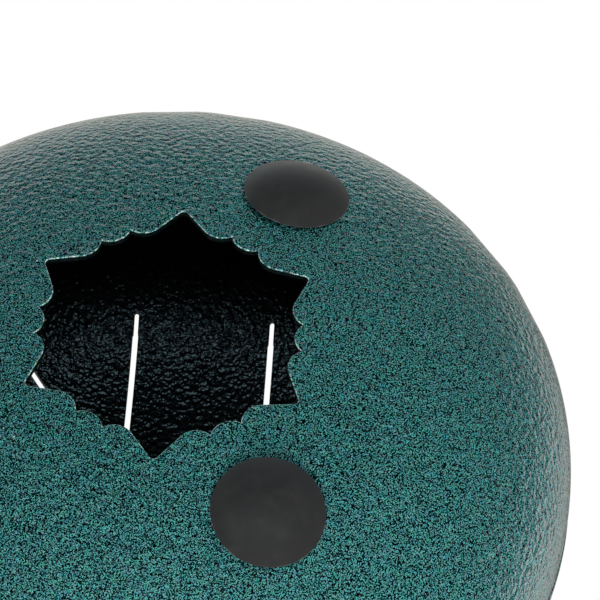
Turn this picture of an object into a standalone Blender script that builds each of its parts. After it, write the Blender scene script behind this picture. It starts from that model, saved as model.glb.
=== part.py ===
"""Ten-inch steel tongue drum: a tongue shell and a lower shell welded at the rim, on three rubber feet.

Metres, +Z up. The origin is on the floor, under the middle of the drum, and the tongues face up.
"""

import math

import bmesh
import bpy
from mathutils import Matrix, Vector

# The two pressed shells
DRUM_RADIUS = 0.127          # outside, at the rim
TONGUE_SHELL_RISE = 0.0787   # from the rim to the top of the drum
LOWER_SHELL_DEPTH = 0.0787   # from the rim to where the lower dome would end if it had no hole
MERIDIAN_POWER = 2.68        # 2 gives an ellipse, more gives a flatter crown and fuller shoulders
SHEET = 0.002                # thickness of the steel

# The weld that joins the rims
GROOVE_HALF_WIDTH = 0.0022   # on the outside of the sheet
ROOT_HALF_WIDTH = 0.0005     # on the inside of the sheet
WELD_CROWN = 0.00035         # how proud of the drum the ground bead stands
FIT_GAP = 0.0003             # between pieces that touch

# The tongues: wide low notes in turn with narrow high notes, at equal angles
FIRST_TONGUE_ANGLE = math.radians(90)
SLIT_WIDTH = 0.0021
TUNING_CUT_WIDTH = 0.0016    # the finer cut that lengthens each slit at its rim end
WIDE_TONGUE_WIDTH = 0.0497   # between the middles of its two side slits
WIDE_ROOT_MARGIN = 0.0233    # in plan, from the end of its tuning cuts to the drum's outside
WIDE_CUT_LENGTH = 0.0070     # of each tuning cut
WIDE_FREE_ENDS = (0.0270, 0.0310, 0.0350, 0.0290)    # from the drum's axis to each free end
NARROW_TONGUE_WIDTH = 0.0243
NARROW_ROOT_MARGIN = 0.0220
NARROW_CUT_LENGTH = 0.0060
NARROW_FREE_ENDS = (0.0540, 0.0575, 0.0590, 0.0555)

# The sound hole: a pointed rosette, with three equal scallops between two points
HOLE_POINTS = 6
FIRST_POINT_ANGLE = math.radians(90)
HOLE_POINT_RADIUS = 0.0468   # where the straight flanks of a point would meet
POINT_ROUNDING = 0.0014
SCALLOP_RADIUS = 0.0064
SCALLOP_CENTRE_RADIUS = 0.0438
SCALLOP_OVERLAP = 0.0021     # of the circles of two neighbouring scallops

# The rubber feet, each pushed through a round hole in the lower shell
FOOT_COUNT = 3
FIRST_FOOT_ANGLE = 0.0
FOOT_PITCH_RADIUS = 0.0681
FOOT_RADIUS = 0.0166
FOOT_DOME_HEIGHT = 0.0055
FOOT_RIM_HEIGHT = 0.0003
FOOT_LIFT = 0.0003           # of the flat underside off the shell, at the stem
FOOT_HOLE_RADIUS = 0.0050
STEM_CLEARANCE = 0.0003
BARB_CLEARANCE = 0.0006
BARB_GRIP = 0.0018           # how far the barb reaches past the edge of its hole
BARB_TIP_RADIUS = 0.0034
BARB_LENGTH = 0.0050
CONTACT_FLAT_DEPTH = 0.0003  # how much of the dome the resting flat takes off

# Facets
TURNS = 72
MERIDIAN_STEPS = 13
FOOT_TURNS = 30
DOME_STEPS = 7
ARC_STEP = math.radians(15)
MERGE_DISTANCE = 1e-6


def clear_scene():
    for obj in list(bpy.data.objects):
        bpy.data.objects.remove(obj, do_unlink=True)


def finish(name, colour, roughness, metallic):
    material = bpy.data.materials.new(name)
    material.use_nodes = True
    shader = material.node_tree.nodes["Principled BSDF"]
    shader.inputs["Base Color"].default_value = (*colour, 1)
    shader.inputs["Roughness"].default_value = roughness
    shader.inputs["Metallic"].default_value = metallic
    return material


def mesh_from(name, bm, material):
    mesh = bpy.data.meshes.new(name)
    bm.to_mesh(mesh)
    bm.free()
    mesh.materials.append(material)
    mesh.shade_smooth()
    mesh.set_sharp_from_angle(angle=math.radians(30))
    return mesh


def placed(name, mesh, parent, location=(0, 0, 0), rotation=(0, 0, 0)):
    obj = bpy.data.objects.new(name, mesh)
    bpy.context.scene.collection.objects.link(obj)
    obj.parent = parent
    obj.location = location
    obj.rotation_euler = rotation
    return obj


def turned(profile, turns):
    """A closed solid of revolution about Z, from a closed profile of (radius, height) points."""
    bm = bmesh.new()
    corners = [bm.verts.new((radius, 0, height)) for radius, height in profile]
    edges = [bm.edges.new(pair) for pair in zip(corners, corners[1:] + corners[:1])]
    bmesh.ops.spin(
        bm, geom=corners + edges, cent=(0, 0, 0), axis=(0, 0, 1),
        angle=math.tau, steps=turns, use_merge=True,
    )
    bmesh.ops.remove_doubles(bm, verts=bm.verts, dist=MERGE_DISTANCE)
    bmesh.ops.recalc_face_normals(bm, faces=bm.faces)
    return bm


def prism(outline, low, high):
    """A closed upright prism on a plan outline of (x, y) points."""
    bm = bmesh.new()
    base = bm.faces.new([bm.verts.new((x, y, low)) for x, y in outline])
    raised = bmesh.ops.extrude_face_region(bm, geom=[base])["geom"]
    lid = [item for item in raised if isinstance(item, bmesh.types.BMVert)]
    bmesh.ops.translate(bm, verts=lid, vec=(0, 0, high - low))
    bmesh.ops.recalc_face_normals(bm, faces=bm.faces)
    return bm


def arc(centre, radius, start, end):
    """Plan points on a circle from the angle start to the angle end, both included."""
    steps = max(2, math.ceil(abs(end - start) / ARC_STEP - 1e-9))
    angles = [start + (end - start) * i / steps for i in range(steps + 1)]
    return [(centre[0] + radius * math.cos(a), centre[1] + radius * math.sin(a)) for a in angles]


def rotated(points, angle):
    turn = Matrix.Rotation(angle, 2)
    return [tuple(turn @ Vector(point)) for point in points]


def dome_height(radius, rise):
    """Height of a dome's outside above the rim, at a radius from the drum's axis."""
    return rise * (1 - (radius / DRUM_RADIUS) ** MERIDIAN_POWER) ** (1 / MERIDIAN_POWER)


def dome_radius(height, rise):
    return DRUM_RADIUS * (1 - (height / rise) ** MERIDIAN_POWER) ** (1 / MERIDIAN_POWER)


def dome_normal(radius, rise):
    """Outward direction of a dome's outside, as (radial, axial)."""
    height = dome_height(radius, rise)
    radial = (radius / DRUM_RADIUS) ** (MERIDIAN_POWER - 1) / DRUM_RADIUS
    axial = (height / rise) ** (MERIDIAN_POWER - 1) / rise
    return Vector((radial, axial)).normalized()


def groove_face(rise):
    """The root and the outer corner of one rim's weld bevel, as (radius, height)."""
    root = Vector((DRUM_RADIUS - SHEET, ROOT_HALF_WIDTH))
    corner = Vector((dome_radius(GROOVE_HALF_WIDTH, rise), GROOVE_HALF_WIDTH))
    return root, corner


def shell_profile(rise):
    """Closed profile of a pressed shell with its rim at height 0."""
    root, corner = groove_face(rise)
    start = math.acos((corner[0] / DRUM_RADIUS) ** (MERIDIAN_POWER / 2))
    outside, inside = [], []
    for i in range(MERIDIAN_STEPS):
        turn = start + (math.pi / 2 - start) * i / MERIDIAN_STEPS
        radius = DRUM_RADIUS * math.cos(turn) ** (2 / MERIDIAN_POWER)
        normal = dome_normal(radius, rise)
        outside.append((radius, dome_height(radius, rise)))
        inside.append((radius - SHEET * normal[0], outside[-1][1] - SHEET * normal[1]))
    poles = [(0, rise), (0, rise - SHEET)]
    return [tuple(root)] + outside + poles + inside[:0:-1]


def shell_mesh(name, rise, side, material):
    """A pressed shell, dished up for side 1 and down for side -1."""
    bm = turned(shell_profile(rise), TURNS)
    bmesh.ops.scale(bm, verts=bm.verts, vec=(1, 1, side))
    bmesh.ops.recalc_face_normals(bm, faces=bm.faces)
    return mesh_from(name, bm, material)


def cut_away(target, name, bm, rotation=(0, 0, 0), location=(0, 0, 0)):
    """Takes a closed shape, given in the target's own frame, away from the target."""
    mesh = bpy.data.meshes.new(name)
    bm.to_mesh(mesh)
    bm.free()
    cutter = placed(name, mesh, target, location, rotation)
    cutter.display_type = "WIRE"
    cutter.hide_render = True
    modifier = target.modifiers.new(name, "BOOLEAN")
    modifier.operation = "DIFFERENCE"
    modifier.solver = "EXACT"
    modifier.object = cutter


def slit_outline(width, root_margin, cut_length, free_end):
    """Plan outline of a U-shaped slit round a tongue that lies along +X, base outwards."""
    half = width / 2
    cut_reach = DRUM_RADIUS - root_margin
    slit_reach = cut_reach - cut_length
    bow = (free_end + half, 0)
    quarter = math.pi / 2
    wide = SLIT_WIDTH / 2
    fine = TUNING_CUT_WIDTH / 2
    taper_end = slit_reach + SLIT_WIDTH - TUNING_CUT_WIDTH
    tip = (cut_reach - fine, half)
    branch = [
        *arc(bow, half + wide, 2 * quarter, quarter),
        (slit_reach, half + wide),
        (taper_end, half + fine),
        *arc(tip, fine, quarter, -quarter),
        (taper_end, half - fine),
        (slit_reach, half - wide),
        *arc(bow, half - wide, quarter, 2 * quarter),
    ]
    mirrored = [(x, -y) for x, y in branch[-2:0:-1]]
    return branch + mirrored


def tongue_sizes():
    """Width, root margin, cut length and free end of each tongue, in order round the drum."""
    sizes = []
    for wide_end, narrow_end in zip(WIDE_FREE_ENDS, NARROW_FREE_ENDS):
        sizes.append((WIDE_TONGUE_WIDTH, WIDE_ROOT_MARGIN, WIDE_CUT_LENGTH, wide_end))
        sizes.append((NARROW_TONGUE_WIDTH, NARROW_ROOT_MARGIN, NARROW_CUT_LENGTH, narrow_end))
    return sizes


def tongue_shell(rim, enamel):
    mesh = shell_mesh("tongue_shell", TONGUE_SHELL_RISE, 1, enamel)
    shell = placed("tongue_shell", mesh, rim)
    sizes = tongue_sizes()
    for i, tongue in enumerate(sizes):
        angle = FIRST_TONGUE_ANGLE + math.tau * i / len(sizes)
        slit = prism(rotated(slit_outline(*tongue), angle), SHEET, TONGUE_SHELL_RISE + SHEET)
        cut_away(shell, f"slit_{i + 1}", slit)


def hole_outline():
    """Plan outline of the sound hole, anticlockwise from its first point."""
    side = math.tau / HOLE_POINTS
    centre = Vector((SCALLOP_CENTRE_RADIUS, 0))
    half_spacing = SCALLOP_RADIUS - SCALLOP_OVERLAP / 2
    step = 2 * math.asin(half_spacing / SCALLOP_CENTRE_RADIUS)
    # Directions from a scallop's centre: to where it meets the next one, and to where a flank leaves it
    cusp = math.pi / 2 + step / 2 + math.acos(half_spacing / SCALLOP_RADIUS)
    point_angle = side / 2 - step
    to_point = Vector((math.cos(point_angle), math.sin(point_angle))) * HOLE_POINT_RADIUS - centre
    flank = math.atan2(to_point.y, to_point.x) + math.acos(SCALLOP_RADIUS / to_point.length)
    # Half of the angle between the two flanks of a point
    half_point = flank - math.pi / 2 - point_angle
    tip = (HOLE_POINT_RADIUS - POINT_ROUNDING / math.sin(half_point), 0)
    pieces = [
        (0, arc(tip, POINT_ROUNDING, half_point - math.pi / 2, math.pi / 2 - half_point)),
        (point_angle, arc(centre, SCALLOP_RADIUS, math.tau - flank, cusp)),
        (side / 2, arc(centre, SCALLOP_RADIUS, math.tau - cusp, cusp)[1:]),
        (side - point_angle, arc(centre, SCALLOP_RADIUS, math.tau - cusp, flank)[1:]),
    ]
    outline = []
    for i in range(HOLE_POINTS):
        for angle, points in pieces:
            outline += rotated(points, FIRST_POINT_ANGLE + i * side + angle)
    return outline


def foot_tilt():
    radial, axial = dome_normal(FOOT_PITCH_RADIUS, LOWER_SHELL_DEPTH)
    return math.atan2(radial, axial)


def foot_dome():
    """Radius of a foot's domed face, and the height of its centre on the foot's own axis."""
    radius = (FOOT_RADIUS**2 + FOOT_DOME_HEIGHT**2) / (2 * FOOT_DOME_HEIGHT)
    return radius, FOOT_LIFT + FOOT_RIM_HEIGHT + FOOT_DOME_HEIGHT - radius


def rim_height():
    """Height of the rim over the floor, from the lowest point of a foot's dome and its resting flat."""
    sphere, centre = foot_dome()
    lowest = dome_height(FOOT_PITCH_RADIUS, LOWER_SHELL_DEPTH) + centre * math.cos(foot_tilt()) + sphere
    return lowest - CONTACT_FLAT_DEPTH


def foot_place(angle):
    """Location from the rim's centre, and rotation, that put a foot's +Z on the shell's outward normal."""
    depth = dome_height(FOOT_PITCH_RADIUS, LOWER_SHELL_DEPTH)
    location = (FOOT_PITCH_RADIUS * math.cos(angle), FOOT_PITCH_RADIUS * math.sin(angle), -depth)
    return location, (0, math.pi - foot_tilt(), angle)


def foot_angles():
    return [FIRST_FOOT_ANGLE + math.tau * i / FOOT_COUNT for i in range(FOOT_COUNT)]


def lower_shell(rim, enamel):
    mesh = shell_mesh("lower_shell", LOWER_SHELL_DEPTH, -1, enamel)
    shell = placed("lower_shell", mesh, rim)
    hole = prism(hole_outline(), -LOWER_SHELL_DEPTH - SHEET, -LOWER_SHELL_DEPTH / 2)
    cut_away(shell, "sound_hole", hole)
    for i, angle in enumerate(foot_angles()):
        drill = bmesh.new()
        bmesh.ops.create_cone(
            drill, cap_ends=True, segments=FOOT_TURNS, radius1=FOOT_HOLE_RADIUS,
            radius2=FOOT_HOLE_RADIUS, depth=4 * SHEET,
        )
        location, rotation = foot_place(angle)
        cut_away(shell, f"foot_hole_{i + 1}", drill, rotation, location)


def foot_profile():
    """Closed profile of a foot on its own axis: height 0 is the outside of the shell."""
    shoulder = -SHEET - BARB_CLEARANCE
    barb_tip = shoulder - BARB_LENGTH
    stem_radius = FOOT_HOLE_RADIUS - STEM_CLEARANCE
    sphere, centre = foot_dome()
    spread = math.asin(FOOT_RADIUS / sphere)
    slopes = [spread * (1 - i / DOME_STEPS) for i in range(DOME_STEPS + 1)]
    return [
        (0, barb_tip),
        (BARB_TIP_RADIUS, barb_tip),
        (FOOT_HOLE_RADIUS + BARB_GRIP, shoulder),
        (stem_radius, shoulder),
        (stem_radius, FOOT_LIFT),
        (FOOT_RADIUS, FOOT_LIFT),
        *[(sphere * math.sin(slope), centre + sphere * math.cos(slope)) for slope in slopes],
    ]


def rubber_feet(rim, rubber):
    bm = turned(foot_profile(), FOOT_TURNS)
    # The floor, seen from the foot's own frame, cuts the resting flat
    location, rotation = foot_place(FIRST_FOOT_ANGLE)
    tilt_back = Matrix.Rotation(-rotation[1], 3, "Y")
    floor_point = tilt_back @ Vector((0, 0, -rim_height() - location[2]))
    flat = bmesh.ops.bisect_plane(
        bm, geom=bm.verts[:] + bm.edges[:] + bm.faces[:], dist=MERGE_DISTANCE,
        plane_co=floor_point, plane_no=tilt_back @ Vector((0, 0, -1)), clear_outer=True,
    )
    rim_edges = [item for item in flat["geom_cut"] if isinstance(item, bmesh.types.BMEdge)]
    bmesh.ops.edgeloop_fill(bm, edges=rim_edges)
    bmesh.ops.recalc_face_normals(bm, faces=bm.faces)
    mesh = mesh_from("rubber_foot", bm, rubber)
    for i, angle in enumerate(foot_angles()):
        placed(f"rubber_foot_{i + 1}", mesh, rim, *foot_place(angle))


def weld_side(rise):
    """Root and outer corner of the bead on one side, a fit gap clear of that rim's bevel."""
    root, corner = groove_face(rise)
    along = (corner - root).normalized()
    inward = Vector((along[1], -along[0])) * FIT_GAP
    return root + inward, corner + inward


def rim_weld(rim, enamel):
    upper_root, upper_corner = weld_side(TONGUE_SHELL_RISE)
    lower_root, lower_corner = weld_side(LOWER_SHELL_DEPTH)
    crown = []
    steps = 4
    for i in range(1, steps):
        share = i / steps
        edge = upper_corner[0] + (lower_corner[0] - upper_corner[0]) * share
        height = upper_corner[1] + (-lower_corner[1] - upper_corner[1]) * share
        bulge = 4 * share * (1 - share)
        crown.append((edge + (DRUM_RADIUS + WELD_CROWN - edge) * bulge, height))
    lower = [(lower_corner[0], -lower_corner[1]), (lower_root[0], -lower_root[1])]
    profile = [tuple(upper_root), tuple(upper_corner), *crown, *lower]
    placed("rim_weld", mesh_from("rim_weld", turned(profile, TURNS), enamel), rim)


def build():
    clear_scene()
    enamel = finish("hammered_green_enamel", (0.022, 0.135, 0.115), 0.38, 0.35)
    rubber = finish("black_rubber", (0.022, 0.022, 0.023), 0.62, 0.0)
    rim = placed("rim_centre", None, None, (0, 0, rim_height()))
    tongue_shell(rim, enamel)
    lower_shell(rim, enamel)
    rim_weld(rim, enamel)
    rubber_feet(rim, rubber)


build()
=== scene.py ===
import math
import bmesh
import bpy
from mathutils import Matrix, Vector


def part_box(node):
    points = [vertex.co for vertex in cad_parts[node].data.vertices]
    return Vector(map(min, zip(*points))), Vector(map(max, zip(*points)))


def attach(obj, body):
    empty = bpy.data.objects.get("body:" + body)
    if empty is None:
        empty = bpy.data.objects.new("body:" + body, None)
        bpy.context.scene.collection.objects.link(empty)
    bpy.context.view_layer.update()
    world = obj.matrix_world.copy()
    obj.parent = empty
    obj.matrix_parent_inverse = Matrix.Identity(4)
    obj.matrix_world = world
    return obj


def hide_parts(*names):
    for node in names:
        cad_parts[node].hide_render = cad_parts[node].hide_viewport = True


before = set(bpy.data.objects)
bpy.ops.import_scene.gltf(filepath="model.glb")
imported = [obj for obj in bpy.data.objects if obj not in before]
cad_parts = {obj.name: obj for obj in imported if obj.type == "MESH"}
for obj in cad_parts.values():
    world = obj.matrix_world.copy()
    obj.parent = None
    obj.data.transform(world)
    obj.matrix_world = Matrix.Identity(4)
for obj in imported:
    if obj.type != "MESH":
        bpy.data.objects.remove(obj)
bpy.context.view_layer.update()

drum = {
    "radius": 0.127,
    "rise": 0.0787,        # of each dome, from the rim
    "power": 2.68,         # 2 is an ellipse, more has fuller shoulders
    "sheet": 0.002,
    "turns": 240,
    "meridianSteps": 56,
    "grooveCorner": 0.0022,   # of the weld's groove, from the middle of the rim
    "grooveRoot": 0.0005,
    "lastSlope": 0.9999,      # share of the radius past which the slope is taken as the same
}
near = 1e-6                   # what lies closer than this is taken as one place
merged = 1e-7                 # and closer than this is made one
beyond = 1.01                 # what is larger by this factor lies past a limit
weldLow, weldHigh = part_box("rim_weld")
rimHeight = (weldLow[2] + weldHigh[2]) / 2


def domeHeight(radius):
    share = min(1, radius / drum["radius"])
    return drum["rise"] * (1 - share ** drum["power"]) ** (1 / drum["power"])


def domeRadius(height):
    return drum["radius"] * (1 - (height / drum["rise"]) ** drum["power"]) ** (1 / drum["power"])


def domeNormal(radius):
    # outward, as radial and axial shares
    radial = (radius / drum["radius"]) ** (drum["power"] - 1) / drum["radius"]
    axial = (domeHeight(radius) / drum["rise"]) ** (drum["power"] - 1) / drum["rise"]
    length = math.hypot(radial, axial)
    return radial / length, axial / length


def arc(centre, radius, start, end, step):
    count = max(2, math.ceil(abs(end - start) / step))
    angles = [start + (end - start) * i / count for i in range(count + 1)]
    return [Vector((centre[0] + radius * math.cos(a), centre[1] + radius * math.sin(a))) for a in angles]


def turnedBy(points, angle):
    return [Matrix.Rotation(angle, 2) @ point for point in points]


def newPiece(name, bm, materials, replaced):
    mesh = bpy.data.meshes.new(name)
    bm.to_mesh(mesh)
    bm.free()
    for material in materials:
        mesh.materials.append(material)
    mesh.shade_smooth()
    piece = bpy.data.objects.new(name, mesh)
    bpy.context.scene.collection.objects.link(piece)
    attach(piece, "root")
    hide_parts(replaced)
    return piece


def spun(bm, turns):
    bmesh.ops.spin(
        bm, geom=bm.verts[:] + bm.edges[:], cent=(0, 0, 0), axis=(0, 0, 1),
        angle=math.tau, steps=turns, use_merge=True, use_duplicate=False,
    )
    bmesh.ops.remove_doubles(bm, verts=bm.verts, dist=merged)
    bmesh.ops.recalc_face_normals(bm, faces=bm.faces)


def outlineEdges(bm, points):
    # closed, from the last point back to the first
    corners = [bm.verts.new(point) for point in points]
    return [bm.edges.new(pair) for pair in zip(corners, corners[1:] + corners[:1])]


# Materials

def nodeMaterial(name):
    material = bpy.data.materials.new(name)
    material.use_nodes = True
    tree = material.node_tree
    shader = tree.nodes["Principled BSDF"]
    return material, tree, shader


def addNode(tree, kind, inputs=None, **settings):
    node = tree.nodes.new(kind)
    for setting, value in settings.items():
        setattr(node, setting, value)
    for socket, value in (inputs or {}).items():
        if isinstance(value, bpy.types.NodeSocket):
            tree.links.new(value, node.inputs[socket])
        else:
            node.inputs[socket].default_value = value
    return node


def ramp(tree, value, stops):
    node = addNode(tree, "ShaderNodeValToRGB", {"Fac": value})
    elements = node.color_ramp.elements
    while len(elements) < len(stops):
        elements.new(0.5)
    for element, (position, colour) in zip(elements, stops):
        element.position = position
        element.color = (*colour, 1)
    return node.outputs["Color"]


enamels = {
    "outside": {
        "speck": 0.00023, "speckSpread": 0.11, "cell": 0.00045, "cellShare": 0.70, "drift": 0.015,
        "dark": (0.000, 0.002, 0.003), "middle": (0.001, 0.040, 0.040), "bright": (0.115, 0.438, 0.418),
        "roughness": 0.5, "specular": 0.0, "coat": 1.0, "coatRoughness": 0.045, "coatIor": 1.5,
        "peel": 0.0019, "peelDepth": 0.00110,
    },
    "inside": {
        "speck": 0.0012, "speckSpread": 0.17, "cell": 0.002, "cellShare": 0.2, "drift": 0.02,
        "dark": (0.0020, 0.0022, 0.0036), "middle": (0.0026, 0.0032, 0.0046),
        "bright": (0.0040, 0.0052, 0.0066),
        "roughness": 0.42, "specular": 0.5, "coat": 1.0, "coatRoughness": 0.10, "coatIor": 2.0,
        "peel": 0.0018, "peelDepth": 0.00060,
    },
    # lighter than the outside enamel: a painted highlight along the sound hole's rounded edge
    "rounded edge": {
        "speck": 0.0004, "speckSpread": 0.12, "cell": 0.00085, "cellShare": 0.4, "drift": 0.02,
        "dark": (0.030, 0.110, 0.100), "middle": (0.190, 0.400, 0.370), "bright": (0.620, 0.880, 0.820),
        "roughness": 0.5, "specular": 0.0, "coat": 1.0, "coatRoughness": 0.12, "coatIor": 1.5,
        "peel": 0.0015, "peelDepth": 0.00010,
    },
    "cut edge": {
        "speck": 0.0006, "speckSpread": 0.17, "cell": 0.002, "cellShare": 0.2, "drift": 0.02,
        "dark": (0.001, 0.002, 0.002), "middle": (0.002, 0.006, 0.006), "bright": (0.004, 0.012, 0.012),
        "roughness": 0.6, "specular": 0.2, "coat": 0.0, "coatRoughness": 0.3, "coatIor": 1.5,
        "peel": 0.0024, "peelDepth": 0.00010,
    },
}

# what all the enamels share
mottle = {
    "distortion": 0.4,
    "cellReach": (0.15, 0.85),   # from a cell's middle, where it is brightest, to its edge
    "patchScale": 600.0,
    "patchReach": (0.3, 0.7),
    "hueScale": 500.0,
    "hueRange": (1.6, 0.6, 0.5),     # how far red, green and blue drift by themselves
    "hueFloor": (0.2, 0.70, 0.75),   # and where their drift starts
    "speckDepth": 0.00002,
}


def hammeredEnamel(name, enamel):
    material, tree, shader = nodeMaterial(name)
    place = addNode(tree, "ShaderNodeTexCoord").outputs["Object"]
    specks = addNode(
        tree, "ShaderNodeTexNoise",
        {"Vector": place, "Scale": 1 / enamel["speck"], "Detail": 1.0, "Roughness": 0.5,
         "Distortion": mottle["distortion"]},
    )
    cells = addNode(tree, "ShaderNodeTexVoronoi", {"Vector": place, "Scale": 1 / enamel["cell"]})
    lines = addNode(
        tree, "ShaderNodeMapRange",
        {"Value": cells.outputs["Distance"],
         "From Min": mottle["cellReach"][0], "From Max": mottle["cellReach"][1],
         "To Min": enamel["cellShare"] / 2, "To Max": -enamel["cellShare"] / 2},
    )
    grain = addNode(
        tree, "ShaderNodeMath", {0: specks.outputs["Fac"], 1: lines.outputs["Result"]}, operation="ADD",
    )
    patches = addNode(
        tree, "ShaderNodeTexNoise", {"Vector": place, "Scale": mottle["patchScale"], "Detail": 1.0},
    )
    drift = addNode(
        tree, "ShaderNodeMapRange",
        {"Value": patches.outputs["Fac"],
         "From Min": mottle["patchReach"][0], "From Max": mottle["patchReach"][1],
         "To Min": -enamel["drift"], "To Max": enamel["drift"]},
    )
    level = addNode(
        tree, "ShaderNodeMath", {0: grain.outputs[0], 1: drift.outputs["Result"]}, operation="ADD",
    )
    spread = enamel["speckSpread"]
    colour = ramp(tree, level.outputs[0], [
        (0.5 - spread, enamel["dark"]), (0.5, enamel["middle"]), (0.5 + spread, enamel["bright"]),
    ])
    hues = addNode(tree, "ShaderNodeTexNoise", {"Vector": place, "Scale": mottle["hueScale"], "Detail": 1.0})
    tint = addNode(
        tree, "ShaderNodeVectorMath",
        {0: hues.outputs["Color"], 1: mottle["hueRange"], 2: mottle["hueFloor"]}, operation="MULTIPLY_ADD",
    )
    tinted = addNode(
        tree, "ShaderNodeVectorMath", {0: colour, 1: tint.outputs["Vector"]}, operation="MULTIPLY",
    )
    peel = addNode(tree, "ShaderNodeTexNoise", {"Vector": place, "Scale": 1 / enamel["peel"], "Detail": 1.0})
    peelBump = addNode(
        tree, "ShaderNodeBump",
        {"Height": peel.outputs["Fac"], "Distance": enamel["peelDepth"], "Strength": 1.0},
    )
    speckBump = addNode(
        tree, "ShaderNodeBump",
        {"Height": specks.outputs["Fac"], "Distance": mottle["speckDepth"], "Strength": 1.0,
         "Normal": peelBump.outputs["Normal"]},
    )
    tree.links.new(tinted.outputs["Vector"], shader.inputs["Base Color"])
    tree.links.new(speckBump.outputs["Normal"], shader.inputs["Normal"])
    tree.links.new(peelBump.outputs["Normal"], shader.inputs["Coat Normal"])
    for socket, value in (
        ("Roughness", "roughness"), ("Specular IOR Level", "specular"), ("Coat Weight", "coat"),
        ("Coat Roughness", "coatRoughness"), ("Coat IOR", "coatIor"),
    ):
        shader.inputs[socket].default_value = enamel[value]
    return material


rubber = {
    "colour": (0.034, 0.033, 0.033),
    "wornAndHighlight": (0.045, 0.043, 0.042),
    "highlighted": (0.160, 0.150, 0.138),   # a painted highlight on the edge of a foot's rim
    "roughness": (0.38, 0.58),         # where it is plain and where it is scuffed
    "shine": (1.0, 0.90, 0.80),
    "bloom": 0.10,            # the dull film that old rubber has
    "bloomRoughness": 0.4,
    "grainSize": 0.0005,
    "grainDepth": 0.00003,
    "scuffScale": 220.0,
    "scuffReach": (0.45, 0.75),
}


def mouldedRubber(name, plain, wornAndHighlight):
    material, tree, shader = nodeMaterial(name)
    place = addNode(tree, "ShaderNodeTexCoord").outputs["Object"]
    grain = addNode(
        tree, "ShaderNodeTexNoise", {"Vector": place, "Scale": 1 / rubber["grainSize"], "Detail": 2.0},
    )
    scuffs = addNode(
        tree, "ShaderNodeTexNoise", {"Vector": place, "Scale": rubber["scuffScale"], "Detail": 5.0},
    )
    # on plain rubber the second colour is scuffed wear; on a foot's rim both colours are a painted highlight
    colour = ramp(tree, scuffs.outputs["Fac"], list(zip(rubber["scuffReach"], (plain, wornAndHighlight))))
    bump = addNode(
        tree, "ShaderNodeBump",
        {"Height": grain.outputs["Fac"], "Distance": rubber["grainDepth"], "Strength": 1.0},
    )
    smooth, rough = rubber["roughness"]
    gloss = addNode(
        tree, "ShaderNodeMapRange", {"Value": scuffs.outputs["Fac"], "To Min": smooth, "To Max": rough},
    )
    tree.links.new(colour, shader.inputs["Base Color"])
    tree.links.new(gloss.outputs["Result"], shader.inputs["Roughness"])
    tree.links.new(bump.outputs["Normal"], shader.inputs["Normal"])
    shader.inputs["Specular Tint"].default_value = (*rubber["shine"], 1)
    shader.inputs["Sheen Weight"].default_value = rubber["bloom"]
    shader.inputs["Sheen Roughness"].default_value = rubber["bloomRoughness"]
    shader.inputs["Sheen Tint"].default_value = (*rubber["shine"], 1)
    return material


outsideEnamel = hammeredEnamel("hammered green enamel", enamels["outside"])
insideEnamel = hammeredEnamel("dark enamel inside", enamels["inside"])
cutEdge = hammeredEnamel("dark enamel on cut edges", enamels["cut edge"])
# the rounded edge of the sound hole gets lighter enamel, a painted highlight
paintedEdgeHighlight = hammeredEnamel("enamel with painted highlight on rounded edges", enamels["rounded edge"])
footRubber = mouldedRubber("moulded black rubber", rubber["colour"], rubber["wornAndHighlight"])
# lighter rubber for the rims of the feet, a painted highlight
rimHighlightRubber = mouldedRubber("rubbed rubber", rubber["wornAndHighlight"], rubber["highlighted"])
print("materials made")


# The shells

def shellProfile():
    # outside from the rim to the pole, inside back to the weld's root, in radius and height over the rim
    corner = domeRadius(drum["grooveCorner"])
    start = math.acos((corner / drum["radius"]) ** (drum["power"] / 2))
    outside, inside = [], []
    for i in range(drum["meridianSteps"]):
        angle = start + (math.pi / 2 - start) * i / drum["meridianSteps"]
        radius = drum["radius"] * math.cos(angle) ** (2 / drum["power"])
        radial, axial = domeNormal(radius)
        outside.append((radius, domeHeight(radius)))
        inside.append((radius - drum["sheet"] * radial, domeHeight(radius) - drum["sheet"] * axial))
    poles = [(0, drum["rise"]), (0, drum["rise"] - drum["sheet"])]
    root = (drum["radius"] - drum["sheet"], drum["grooveRoot"])
    return [root] + outside + poles + inside[:0:-1]


def paintSides(bm):
    # slot 0 outside, slot 1 inside
    for face in bm.faces:
        centre = face.calc_center_median()
        away = Vector((centre.x, centre.y, (centre.z - rimHeight) * 2))
        face.material_index = 0 if face.normal.dot(away) > 0 else 1


def exactNormals(mesh):
    # The dome's own normals, so that faces beside a cut shade as the uncut dome
    normals = []
    for face in mesh.polygons:
        for corner in face.loop_indices:
            point = mesh.vertices[mesh.loops[corner].vertex_index].co
            radius = math.hypot(point.x, point.y)
            if face.material_index > 1 or radius < near:
                normals.append((0, 0, 0))
                continue
            radial, axial = domeNormal(min(radius, drum["radius"] * drum["lastSlope"]))
            up = 1 if point.z > rimHeight else -1
            normal = Vector((point.x / radius * radial, point.y / radius * radial, axial * up))
            normals.append(normal if normal.dot(face.normal) > 0 else -normal)
    mesh.normals_split_custom_set(normals)


def cutThrough(piece, cutterMesh):
    cutter = bpy.data.objects.new("cutter", cutterMesh)
    bpy.context.scene.collection.objects.link(cutter)
    cut = piece.modifiers.new("cut", "BOOLEAN")
    cut.operation = "DIFFERENCE"
    cut.solver = "EXACT"
    cut.material_mode = "TRANSFER"
    cut.object = cutter
    bpy.context.view_layer.update()
    solid = piece.evaluated_get(bpy.context.evaluated_depsgraph_get())
    piece.data = bpy.data.meshes.new_from_object(solid)
    piece.modifiers.clear()
    bpy.data.objects.remove(cutter)


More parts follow.
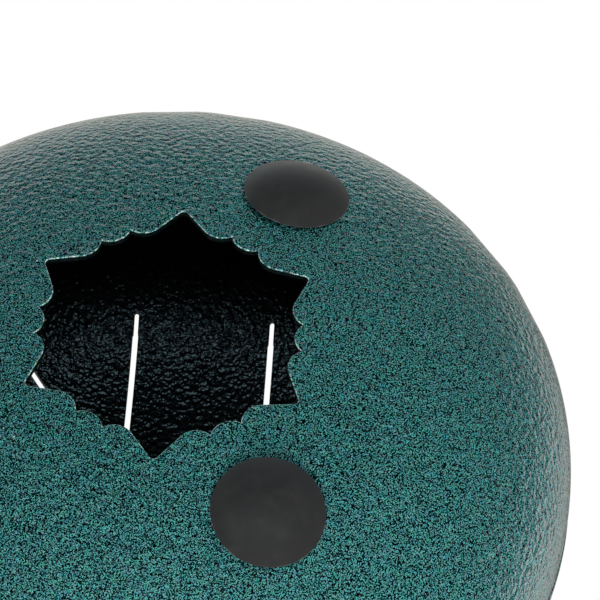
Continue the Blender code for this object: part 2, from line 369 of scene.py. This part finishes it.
def prismMesh(outlines, low, high, material):
    bm = bmesh.new()
    for outline in outlines:
        base = bm.faces.new([bm.verts.new((x, y, low)) for x, y in outline])
        raised = bmesh.ops.extrude_face_region(bm, geom=[base])["geom"]
        lid = [item for item in raised if isinstance(item, bmesh.types.BMVert)]
        bmesh.ops.translate(bm, verts=lid, vec=(0, 0, high - low))
    bmesh.ops.recalc_face_normals(bm, faces=bm.faces)
    mesh = bpy.data.meshes.new("cutter")
    bm.to_mesh(mesh)
    bm.free()
    mesh.materials.append(material)
    return mesh


tongues = {
    "count": 8,               # wide and narrow by turns
    "firstAngle": math.radians(90),
    "slit": 0.0021,
    "tuningCut": 0.0016,
    "wide": {"width": 0.0497, "rootMargin": 0.0233, "cutLength": 0.0070},
    "narrow": {"width": 0.0243, "rootMargin": 0.0220, "cutLength": 0.0060},
    # how far the free ends lie from the middle of the drum
    "wideEnds": (0.0270, 0.0310, 0.0350, 0.0290),
    "narrowEnds": (0.0540, 0.0575, 0.0590, 0.0555),
    "arcStep": math.radians(5),
}


def slitOutline(size, freeEnd):
    # a U round a tongue that lies along +X, with its root outwards
    half = size["width"] / 2
    cutReach = drum["radius"] - size["rootMargin"]
    slitReach = cutReach - size["cutLength"]
    wide, fine = tongues["slit"] / 2, tongues["tuningCut"] / 2
    bow = (freeEnd + half, 0)
    quarter = math.pi / 2
    step = tongues["arcStep"]
    taperEnd = slitReach + tongues["slit"] - tongues["tuningCut"]
    tip = (cutReach - fine, half)
    branch = [
        *arc(bow, half + wide, 2 * quarter, quarter, step),
        Vector((slitReach, half + wide)),
        Vector((taperEnd, half + fine)),
        *arc(tip, fine, quarter, -quarter, step * 4),
        Vector((taperEnd, half - fine)),
        Vector((slitReach, half - wide)),
        *arc(bow, half - wide, quarter, 2 * quarter, step),
    ]
    return branch + [Vector((point.x, -point.y)) for point in branch[-2:0:-1]]


def tongueShell():
    bm = bmesh.new()
    outlineEdges(bm, [(radius, 0, height + rimHeight) for radius, height in shellProfile()])
    spun(bm, drum["turns"])
    paintSides(bm)
    shell = newPiece(
        "tongue_shell_fine", bm, [outsideEnamel, insideEnamel], "tongue_shell",
    )
    outlines = []
    for i in range(tongues["count"]):
        size = tongues["narrow"] if i % 2 else tongues["wide"]
        ends = tongues["narrowEnds"] if i % 2 else tongues["wideEnds"]
        angle = tongues["firstAngle"] + math.tau * i / tongues["count"]
        outlines.append(turnedBy(slitOutline(size, ends[i // 2]), angle))
    cutThrough(shell, prismMesh(outlines, rimHeight, rimHeight + drum["rise"] + drum["sheet"], cutEdge))
    exactNormals(shell.data)


tongueShell()
print("tongue shell cut")

soundHole = {
    "points": 6,
    "firstPoint": math.radians(90),
    "pointRadius": 0.0468,
    "pointRounding": 0.0014,
    "scallopRadius": 0.0064,
    "scallopCentre": 0.0438,
    "scallopOverlap": 0.0021,
    "arcStep": math.radians(5),
}


def holeOutline():
    side = math.tau / soundHole["points"]
    scallop = soundHole["scallopRadius"]
    step = soundHole["arcStep"]
    centre = Vector((soundHole["scallopCentre"], 0))
    halfSpacing = scallop - soundHole["scallopOverlap"] / 2
    scallopStep = 2 * math.asin(halfSpacing / centre.x)
    cusp = math.pi / 2 + scallopStep / 2 + math.acos(halfSpacing / scallop)
    pointAngle = side / 2 - scallopStep
    toPoint = Vector((math.cos(pointAngle), math.sin(pointAngle))) * soundHole["pointRadius"] - centre
    flank = math.atan2(toPoint.y, toPoint.x) + math.acos(scallop / toPoint.length)
    halfPoint = flank - math.pi / 2 - pointAngle
    tip = (soundHole["pointRadius"] - soundHole["pointRounding"] / math.sin(halfPoint), 0)
    rounding = math.pi / 2 - halfPoint
    pieces = [
        (0, arc(tip, soundHole["pointRounding"], -rounding, rounding, step * 2)),
        (pointAngle, arc(centre, scallop, math.tau - flank, cusp, step)),
        (side / 2, arc(centre, scallop, math.tau - cusp, cusp, step)[1:]),
        (side - pointAngle, arc(centre, scallop, math.tau - cusp, flank, step)[1:]),
    ]
    outline = []
    for i in range(soundHole["points"]):
        for angle, points in pieces:
            outline += turnedBy(points, soundHole["firstPoint"] + i * side + angle)
    return outline


feet = {
    "count": 3,
    "firstAngle": 0.0,
    "pitchRadius": 0.0681,
    "radius": 0.0166,
    "domeHeight": 0.0055,
    "rimHeight": 0.0003,
    "rimRounding": 0.00013,
    "lift": 0.0003,           # of the flat underside off the shell, whose curve widens the gap at the rim
    "holeRadius": 0.0050,
    "stemRadius": 0.0047,
    "barbShoulder": -0.0026,
    "barbRadius": 0.0068,
    "barbTip": -0.0076,
    "barbTipRadius": 0.0034,
    "turns": 128,
    "holeTurns": 48,
    "domeSteps": 24,
    "roundingSteps": 3,
    "sharpEdge": math.radians(35),
    # a face is of the dome if it lies this little under the sphere, and faces outwards by this cosine
    "domeDepth": 0.0006,
    "domeFacing": 0.9,
}


def footMatrix(angle):
    radial, axial = domeNormal(feet["pitchRadius"])
    place = Matrix.Translation((0, 0, rimHeight)) @ Matrix.Rotation(angle, 4, "Z")
    place @= Matrix.Translation((feet["pitchRadius"], 0, -domeHeight(feet["pitchRadius"])))
    return place @ Matrix.Rotation(math.pi - math.atan2(radial, axial), 4, "Y")


def footAngles():
    return [feet["firstAngle"] + math.tau * i / feet["count"] for i in range(feet["count"])]


def widened(bm, ring, target, share):
    # one more ring of faces, a share of the way out to the target radius
    grown = bmesh.ops.extrude_edge_only(bm, edges=ring)["geom"]
    for vert in [item for item in grown if isinstance(item, bmesh.types.BMVert)]:
        radius = math.hypot(vert.co.x, vert.co.y)
        factor = (radius + (target - radius) * share) / radius
        vert.co.x *= factor
        vert.co.y *= factor
    return [item for item in grown if isinstance(item, bmesh.types.BMEdge)]


lowerDome = {
    "blendRadius": 0.053,     # where the rings round the hole have become circles
    "blendRings": 14,
    "edgeRounding": 0.0003,
    "roundingSteps": 3,
}


def holedDome(bm):
    # the outside of the lower dome, ring by ring from the hole's outline to the rim
    ring = outlineEdges(bm, [(point.x, point.y, 0) for point in holeOutline()])
    for i in range(lowerDome["blendRings"]):
        ring = widened(bm, ring, lowerDome["blendRadius"], 1 / (lowerDome["blendRings"] - i))
    for radius, height in reversed(shellProfile()[1:drum["meridianSteps"] + 1]):
        if radius > lowerDome["blendRadius"] * beyond:
            ring = widened(bm, ring, radius, 1)
    for vert in bm.verts:
        vert.co.z = rimHeight - domeHeight(math.hypot(vert.co.x, vert.co.y))


def thickened(bm):
    # the sheet's inside, which ends in the root of the weld's groove
    outside = bm.faces[:]
    copied = bmesh.ops.extrude_face_region(bm, geom=outside)["geom"]
    for vert in [item for item in copied if isinstance(item, bmesh.types.BMVert)]:
        radius = math.hypot(vert.co.x, vert.co.y)
        radial, axial = domeNormal(radius)
        inner = (radius - drum["sheet"] * radial) / radius
        vert.co = (vert.co.x * inner, vert.co.y * inner, vert.co.z + drum["sheet"] * axial)
        if radius > domeRadius(drum["grooveCorner"] * beyond):
            vert.co.z = rimHeight - drum["grooveRoot"]
    inside = {item for item in copied if isinstance(item, bmesh.types.BMFace)}
    for face in bm.faces:
        face.material_index = 1 if face in inside else 2
    for face in outside:
        face.material_index = 0
    bmesh.ops.recalc_face_normals(bm, faces=bm.faces)


def roundHoleEdge(piece):
    bm = bmesh.new()
    bm.from_mesh(piece.data)
    edges = []
    for edge in bm.edges:
        atHole = max(math.hypot(vert.co.x, vert.co.y) for vert in edge.verts) < lowerDome["blendRadius"]
        if atHole and {face.material_index for face in edge.link_faces} == {0, 2}:
            edges.append(edge)
    rounded = bmesh.ops.bevel(
        bm, geom=edges, offset=lowerDome["edgeRounding"], offset_type="OFFSET", affect="EDGES",
        segments=lowerDome["roundingSteps"], profile=0.5, clamp_overlap=True, material=-1,
    )
    # the rounding's faces take the lighter enamel of a painted highlight
    for face in rounded["faces"]:
        face.material_index = 3
    bm.to_mesh(piece.data)
    bm.free()
    piece.data.materials.append(paintedEdgeHighlight)


def lowerShell():
    bm = bmesh.new()
    holedDome(bm)
    thickened(bm)
    shell = newPiece(
        "lower_shell_fine", bm, [outsideEnamel, insideEnamel, cutEdge], "lower_shell",
    )
    for angle in footAngles():
        drill = bmesh.new()
        bmesh.ops.create_cone(
            drill, cap_ends=True, segments=feet["holeTurns"], depth=drum["sheet"] * 4,
            radius1=feet["holeRadius"], radius2=feet["holeRadius"], matrix=footMatrix(angle),
        )
        drillMesh = bpy.data.meshes.new("drill")
        drill.to_mesh(drillMesh)
        drill.free()
        drillMesh.materials.append(cutEdge)
        cutThrough(shell, drillMesh)
    roundHoleEdge(shell)
    exactNormals(shell.data)


lowerShell()
print("lower shell cut")


weld = {
    "gap": 0.0003,
    "crown": 0.00035,         # over the rims' own radius
    "crownSteps": 12,
    "sharpEdge": math.radians(40),
}


def rimWeld():
    root = Vector((drum["radius"] - drum["sheet"], drum["grooveRoot"]))
    corner = Vector((domeRadius(drum["grooveCorner"]), drum["grooveCorner"]))
    along = (corner - root).normalized()
    inward = Vector((along.y, -along.x)) * weld["gap"]
    low, high = root + inward, corner + inward
    swell = drum["radius"] + weld["crown"] - high.x
    crown = []
    for i in range(1, weld["crownSteps"]):
        share = i / weld["crownSteps"]
        crown.append((high.x + swell * 4 * share * (1 - share), high.y * (1 - 2 * share)))
    profile = [(low.x, low.y), (high.x, high.y), *crown, (high.x, -high.y), (low.x, -low.y)]
    bm = bmesh.new()
    outlineEdges(bm, [(radius, 0, height + rimHeight) for radius, height in profile])
    spun(bm, drum["turns"])
    bead = newPiece("rim_weld_fine", bm, [outsideEnamel], "rim_weld")
    bead.data.set_sharp_from_angle(angle=weld["sharpEdge"])


rimWeld()
print("weld made")


def rubberFoot(number, angle):
    sphere = (feet["radius"] ** 2 + feet["domeHeight"] ** 2) / (2 * feet["domeHeight"])
    centre = feet["lift"] + feet["rimHeight"] + feet["domeHeight"] - sphere
    spread = math.asin(feet["radius"] / sphere)
    slopes = [spread * (1 - i / feet["domeSteps"]) for i in range(feet["domeSteps"] + 1)]
    profile = [
        (0, feet["barbTip"]), (feet["barbTipRadius"], feet["barbTip"]),
        (feet["barbRadius"], feet["barbShoulder"]), (feet["stemRadius"], feet["barbShoulder"]),
        (feet["stemRadius"], feet["lift"]), (feet["radius"], feet["lift"]),
        *[(sphere * math.sin(slope), centre + sphere * math.cos(slope)) for slope in slopes],
    ]
    bm = bmesh.new()
    outlineEdges(bm, [(radius, 0, height) for radius, height in profile])
    spun(bm, feet["turns"])
    rims = []
    for edge in bm.edges:
        atRim = all(abs(math.hypot(vert.co.x, vert.co.y) - feet["radius"]) < near for vert in edge.verts)
        if atRim and abs(edge.verts[0].co.z - edge.verts[1].co.z) < near:
            rims.append(edge)
    rounded = bmesh.ops.bevel(
        bm, geom=rims, offset=feet["rimRounding"], offset_type="OFFSET", affect="EDGES",
        segments=feet["roundingSteps"], profile=0.5, clamp_overlap=True, material=-1,
    )
    # the rim's rounding takes the lighter rubber, a painted highlight
    for face in rounded["faces"]:
        face.material_index = 1
    bmesh.ops.transform(bm, matrix=footMatrix(angle), verts=bm.verts)
    flat = bmesh.ops.bisect_plane(
        bm, geom=bm.verts[:] + bm.edges[:] + bm.faces[:], dist=near,
        plane_co=(0, 0, 0), plane_no=(0, 0, -1), clear_outer=True,
    )
    flatEdges = [item for item in flat["geom_cut"] if isinstance(item, bmesh.types.BMEdge)]
    bmesh.ops.edgeloop_fill(bm, edges=flatEdges)
    bmesh.ops.recalc_face_normals(bm, faces=bm.faces)
    slots = [footRubber, rimHighlightRubber]
    foot = newPiece(f"rubber_foot_{number}_fine", bm, slots, f"rubber_foot_{number}")
    foot.data.set_sharp_from_angle(angle=feet["sharpEdge"])
    # The resting flat shades as the dome that it is pressed from
    middle = footMatrix(angle) @ Vector((0, 0, centre))
    normals = []
    for face in foot.data.polygons:
        outwards = face.center - middle
        onDome = outwards.length > sphere - feet["domeDepth"]
        onDome = onDome and face.normal.dot(outwards) > feet["domeFacing"] * sphere
        for corner in face.loop_indices:
            point = foot.data.vertices[foot.data.loops[corner].vertex_index].co
            normals.append((point - middle).normalized() if onDome else (0, 0, 0))
    foot.data.normals_split_custom_set(normals)


for number, angle in enumerate(footAngles(), 1):
    rubberFoot(number, angle)
print("feet made")


# Camera, from below as in the photograph

view = {
    "distance": 0.78307,
    "elevation": math.radians(56.523),
    "yaw": math.radians(-3.124),
    "pitch": math.radians(3.970),
    "roll": math.radians(2.071),
    "turn": math.radians(-7.272),
    "lens": 145.06,
    "sensor": 36,
    "clipStart": 0.01,
}


def addCamera():
    aim = Matrix.Rotation(math.pi / 2 - view["elevation"], 4, "X")
    aim @= Matrix.Rotation(view["yaw"], 4, "Y") @ Matrix.Rotation(view["pitch"], 4, "X")
    aim @= Matrix.Rotation(-view["roll"], 4, "Z")
    eye = Vector((0, -math.cos(view["elevation"]), math.sin(view["elevation"]))) * view["distance"]
    turnOver = Matrix.Translation((0, 0, rimHeight)) @ Matrix.Rotation(view["turn"], 4, "Z")
    turnOver @= Matrix.Rotation(math.pi, 4, "Y")
    data = bpy.data.cameras.new("camera")
    data.lens = view["lens"]
    data.sensor_width = view["sensor"]
    data.clip_start = view["clipStart"]
    camera = bpy.data.objects.new("camera", data)
    bpy.context.scene.collection.objects.link(camera)
    camera.matrix_world = turnOver @ Matrix.Translation(eye) @ aim
    bpy.context.scene.camera = camera
    return camera.matrix_world.to_3x3()


cameraTurn = addCamera()

lights = {
    # right, up and towards the camera, in metres from the middle of the drum; width and height; watts;
    # colour; whether it shows as a highlight
    "front softbox": ((0.00, -0.70, 1.05), (0.5, 0.5), 15.5, (1, 1, 1), False),
    "side softbox": ((0.80, 0.85, 0.40), (0.35, 0.35), 5.0, (1, 1, 1), False),
    "dim card over the hole": ((0.00, 0.33, 0.94), (1.0, 0.40), 0.80, (0.60, 1.00, 1.15), True),
    "rim softbox": ((-0.90, 0.75, -0.35), (0.25, 0.25), 1.2, (1, 1, 1), True),
}
# over the floor, for the views from above
overhead = ((0.4, -0.5, 1.4), (1.2, 1.2), 10, (1, 1, 1), True)


def addLight(name, place, size, watts, colour, highlight):
    data = bpy.data.lights.new(name, "AREA")
    data.shape = "RECTANGLE"
    data.size, data.size_y = size
    data.energy = watts
    data.color = colour
    lamp = bpy.data.objects.new(name, data)
    lamp.visible_glossy = highlight
    bpy.context.scene.collection.objects.link(lamp)
    middle = Vector((0, 0, rimHeight))
    lamp.location = place
    lamp.rotation_euler = (middle - Vector(place)).to_track_quat("-Z", "Y").to_euler()


for name, (place, *rest) in lights.items():
    addLight(name, Vector((0, 0, rimHeight)) + cameraTurn @ Vector(place), *rest)
addLight("overhead softbox", *overhead)

studio = {
    # the share of the way round from the camera to the far side, and the light there
    "glow": [
        (0.40, (0.012, 0.014, 0.017)), (0.50, (0.03, 0.04, 0.05)), (0.62, (0.21, 0.27, 0.31)),
        (0.70, (0.42, 0.53, 0.60)), (0.80, (0.72, 0.82, 0.87)), (0.90, (0.88, 0.88, 0.84)),
        (1.00, (0.66, 0.62, 0.56)),
    ],
    # the middle's direction, the cosine at which it fades in, and its factor
    "patches": [
        ((0.62, 0.55, -0.55), 0.87, 0.38),
        ((0.77, -0.28, -0.57), 0.83, 1.6),
        ((0.25, -0.12, -0.96), 0.93, 0.60),
    ],
    # a narrow dark flag, upright on the right
    "flag": {"across": (0.95, -0.30, 0.0), "place": 0.235, "halfWidth": 0.04, "factor": 0.35},
    "flagFade": (0.5, 1.5),   # where its edge starts and ends, as shares of the half width
}


def addWorld():
    world = bpy.data.worlds.new("studio")
    world.use_nodes = True
    bpy.context.scene.world = world
    tree = world.node_tree
    background = tree.nodes["Background"]
    direction = addNode(tree, "ShaderNodeTexCoord").outputs["Generated"]

    def along(toward):
        axis = tuple(cameraTurn @ Vector(toward).normalized())
        return addNode(
            tree, "ShaderNodeVectorMath", {0: direction, 1: axis}, operation="DOT_PRODUCT",
        ).outputs["Value"]

    def scaled(light, value, start, end, startFactor, endFactor):
        factor = addNode(
            tree, "ShaderNodeMapRange",
            {"Value": value, "From Min": start, "From Max": end, "To Min": startFactor, "To Max": endFactor},
        ).outputs["Result"]
        return addNode(
            tree, "ShaderNodeVectorMath", {0: light, "Scale": factor}, operation="SCALE",
        ).outputs["Vector"]

    wayRound = addNode(
        tree, "ShaderNodeMapRange", {"Value": along((0, 0, -1)), "From Min": -1.0, "From Max": 1.0},
    )
    light = ramp(tree, wayRound.outputs["Result"], studio["glow"])
    for toward, start, factor in studio["patches"]:
        light = scaled(light, along(toward), start, 1.0, 1.0, factor)
    flag = studio["flag"]
    beside = addNode(
        tree, "ShaderNodeMath", {0: along(flag["across"]), 1: flag["place"]}, operation="SUBTRACT",
    )
    off = addNode(tree, "ShaderNodeMath", {0: beside.outputs[0]}, operation="ABSOLUTE")
    fadeStart, fadeEnd = [flag["halfWidth"] * share for share in studio["flagFade"]]
    light = scaled(light, off.outputs[0], fadeStart, fadeEnd, flag["factor"], 1.0)
    # the camera itself sees plain white behind the drum
    seen = addNode(tree, "ShaderNodeLightPath").outputs["Is Camera Ray"]
    colour = addNode(
        tree, "ShaderNodeMix", {"Factor": seen, 6: light, 7: (1, 1, 1, 1)}, data_type="RGBA",
    )
    tree.links.new(colour.outputs[2], background.inputs["Color"])
    background.inputs["Strength"].default_value = 1.0
    bpy.context.scene.view_settings.view_transform = "Standard"


addWorld()


groundPlane = {
    "halfSize": 3.0,
    "drop": 0.0002,           # below the flats of the feet, which would shade with it
    "colour": (0.82, 0.82, 0.81),
    "roughness": 0.7,
}


def addFloor():
    # seen from above only, so that the camera looks up through it
    bm = bmesh.new()
    bmesh.ops.create_grid(bm, x_segments=1, y_segments=1, size=groundPlane["halfSize"])
    bmesh.ops.translate(bm, verts=bm.verts, vec=(0, 0, -groundPlane["drop"]))
    mesh = bpy.data.meshes.new("floor")
    bm.to_mesh(mesh)
    bm.free()
    material, tree, shader = nodeMaterial("pale floor")
    shader.inputs["Base Color"].default_value = (*groundPlane["colour"], 1)
    shader.inputs["Roughness"].default_value = groundPlane["roughness"]
    under = addNode(tree, "ShaderNodeNewGeometry").outputs["Backfacing"]
    clear = addNode(tree, "ShaderNodeBsdfTransparent").outputs["BSDF"]
    mix = addNode(tree, "ShaderNodeMixShader", {"Fac": under, 1: shader.outputs["BSDF"], 2: clear})
    tree.links.new(mix.outputs["Shader"], tree.nodes["Material Output"].inputs["Surface"])
    mesh.materials.append(material)
    floor = bpy.data.objects.new("floor", mesh)
    bpy.context.scene.collection.objects.link(floor)
    floor.visible_shadow = False
    floor.visible_diffuse = False
    floor.visible_glossy = False


addFloor()
print("camera, lights and floor placed")
